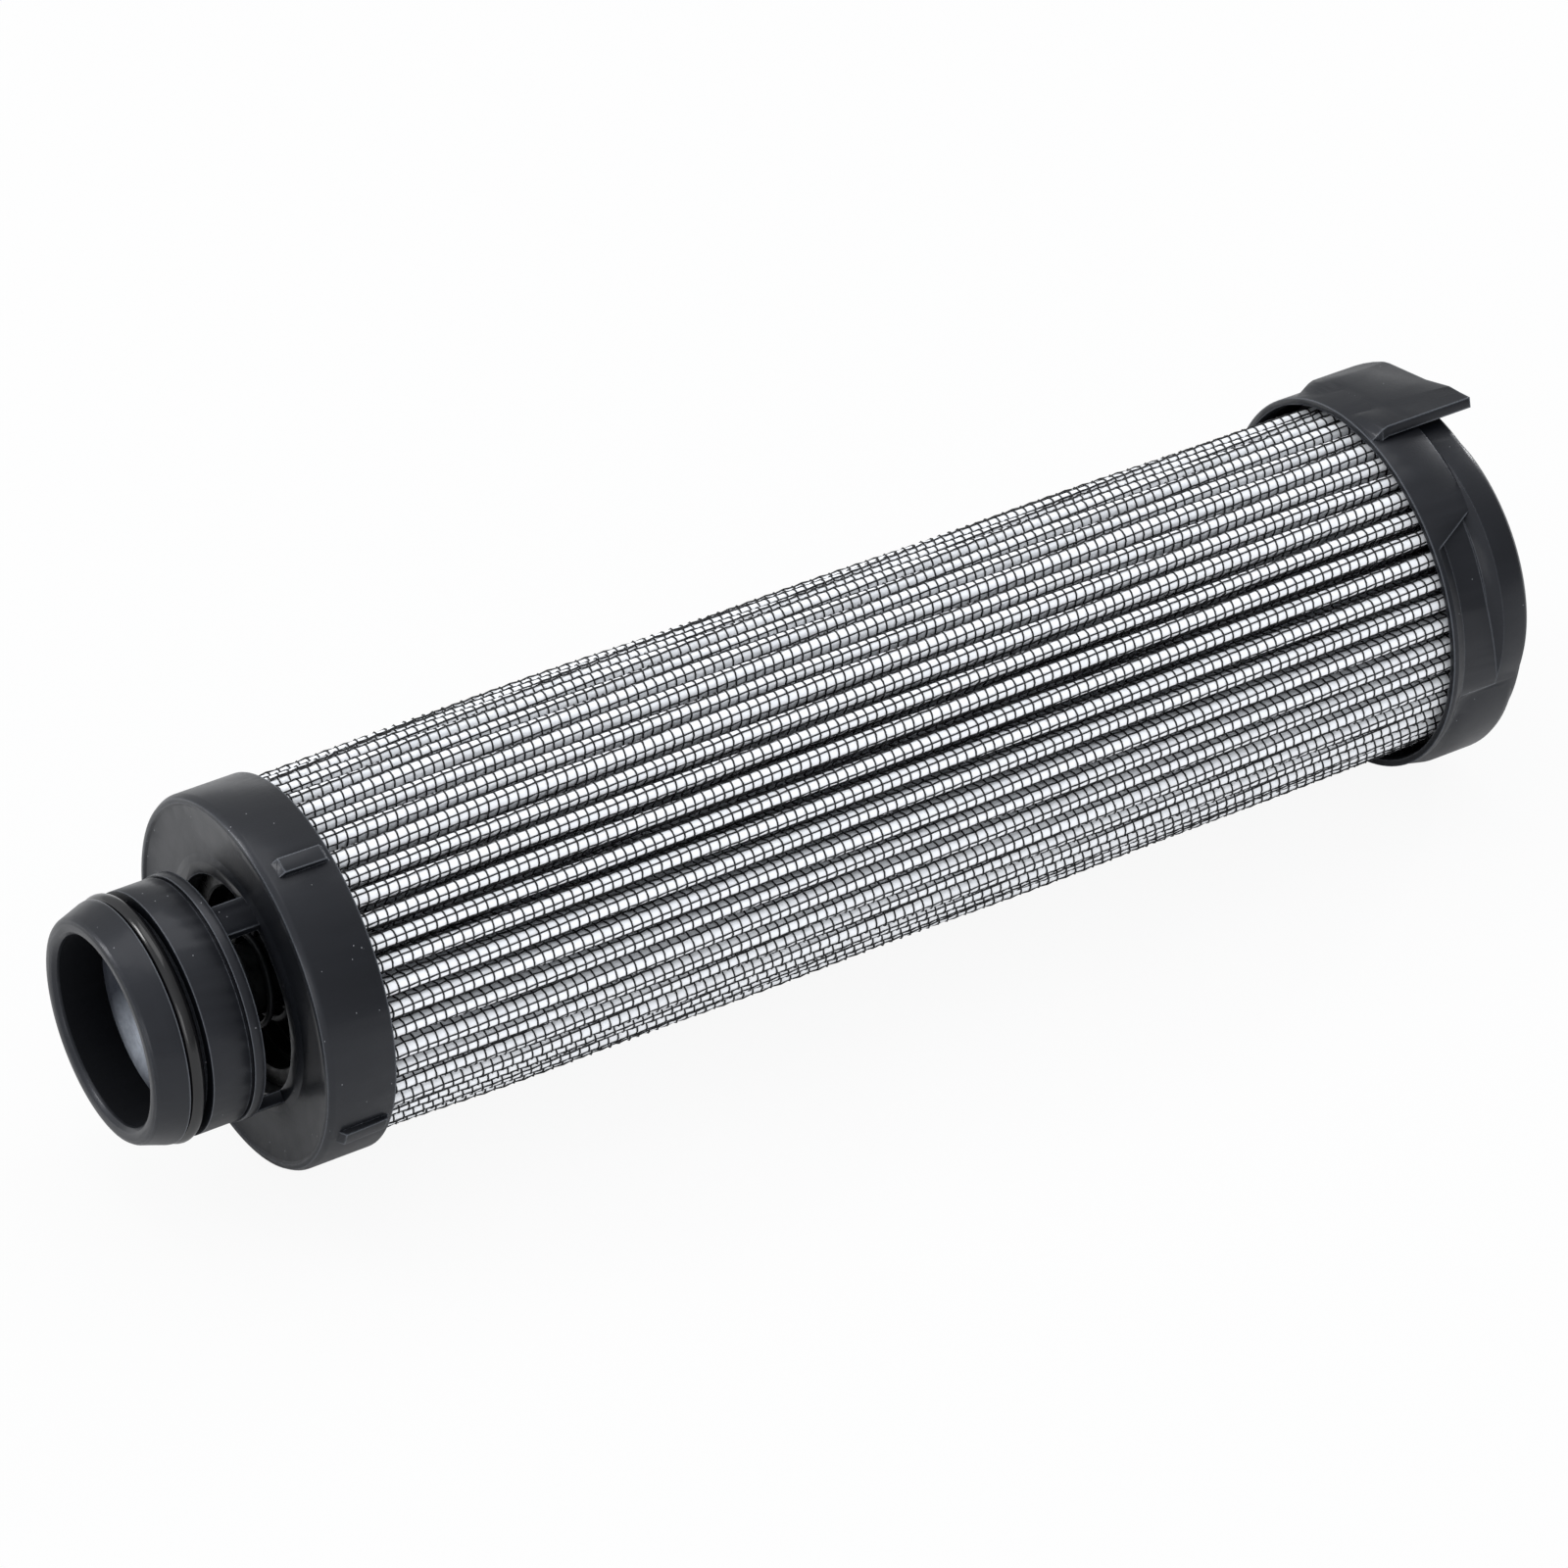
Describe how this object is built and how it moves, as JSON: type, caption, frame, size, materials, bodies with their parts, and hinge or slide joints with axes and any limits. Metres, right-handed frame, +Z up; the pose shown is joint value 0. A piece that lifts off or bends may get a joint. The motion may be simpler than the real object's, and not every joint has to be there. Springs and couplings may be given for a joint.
{
  "type": "pleated filter element",
  "caption": "Round pleated filter element with a sealed neck and check valve at one end, a wire guard over the pleats, and an open cap with a pull tab at the other.",
  "frame": {"origin": "on the axis, where the neck's bore starts behind its flared lip", "axes": "+X along the element's axis from the neck to the head end, +Z up as it lies, +Y completes the frame"},
  "size_m": [0.236, 0.0602, 0.0621],
  "materials": {
    "cap_plastic": "satin moulded, glass-filled",
    "seal_rubber": "smooth",
    "valve_plastic": "satin moulded",
    "spring_steel": "drawn wire",
    "core_plastic": "moulded",
    "filter_media": "matte fleece",
    "coated_wire": "epoxy coated",
    "potting_resin": "set adhesive"
  },
  "bodies": {
    "element": {"open_end_cap": "cap_plastic", "neck_o_ring": "seal_rubber", "valve_spring": "spring_steel", "valve_cup": "valve_plastic", "support_core": "core_plastic", "pleated_media": "filter_media", "outer_wire_guard": "coated_wire", "neck_end_potting": "potting_resin", "head_end_potting": "potting_resin", "head_end_cap": "cap_plastic", "head_o_ring": "seal_rubber"},
    "valve": {"valve_plate": "valve_plastic"}
  },
  "joints": [
    {"name": "valve_slide", "type": "slide", "parent": "element", "child": "valve", "axis": [1, 0, 0], "range_m": [0, 0.007], "stiffness_N_per_m": 150, "springref_m": -0.009, "deforming": ["valve_spring"]}
  ]
}
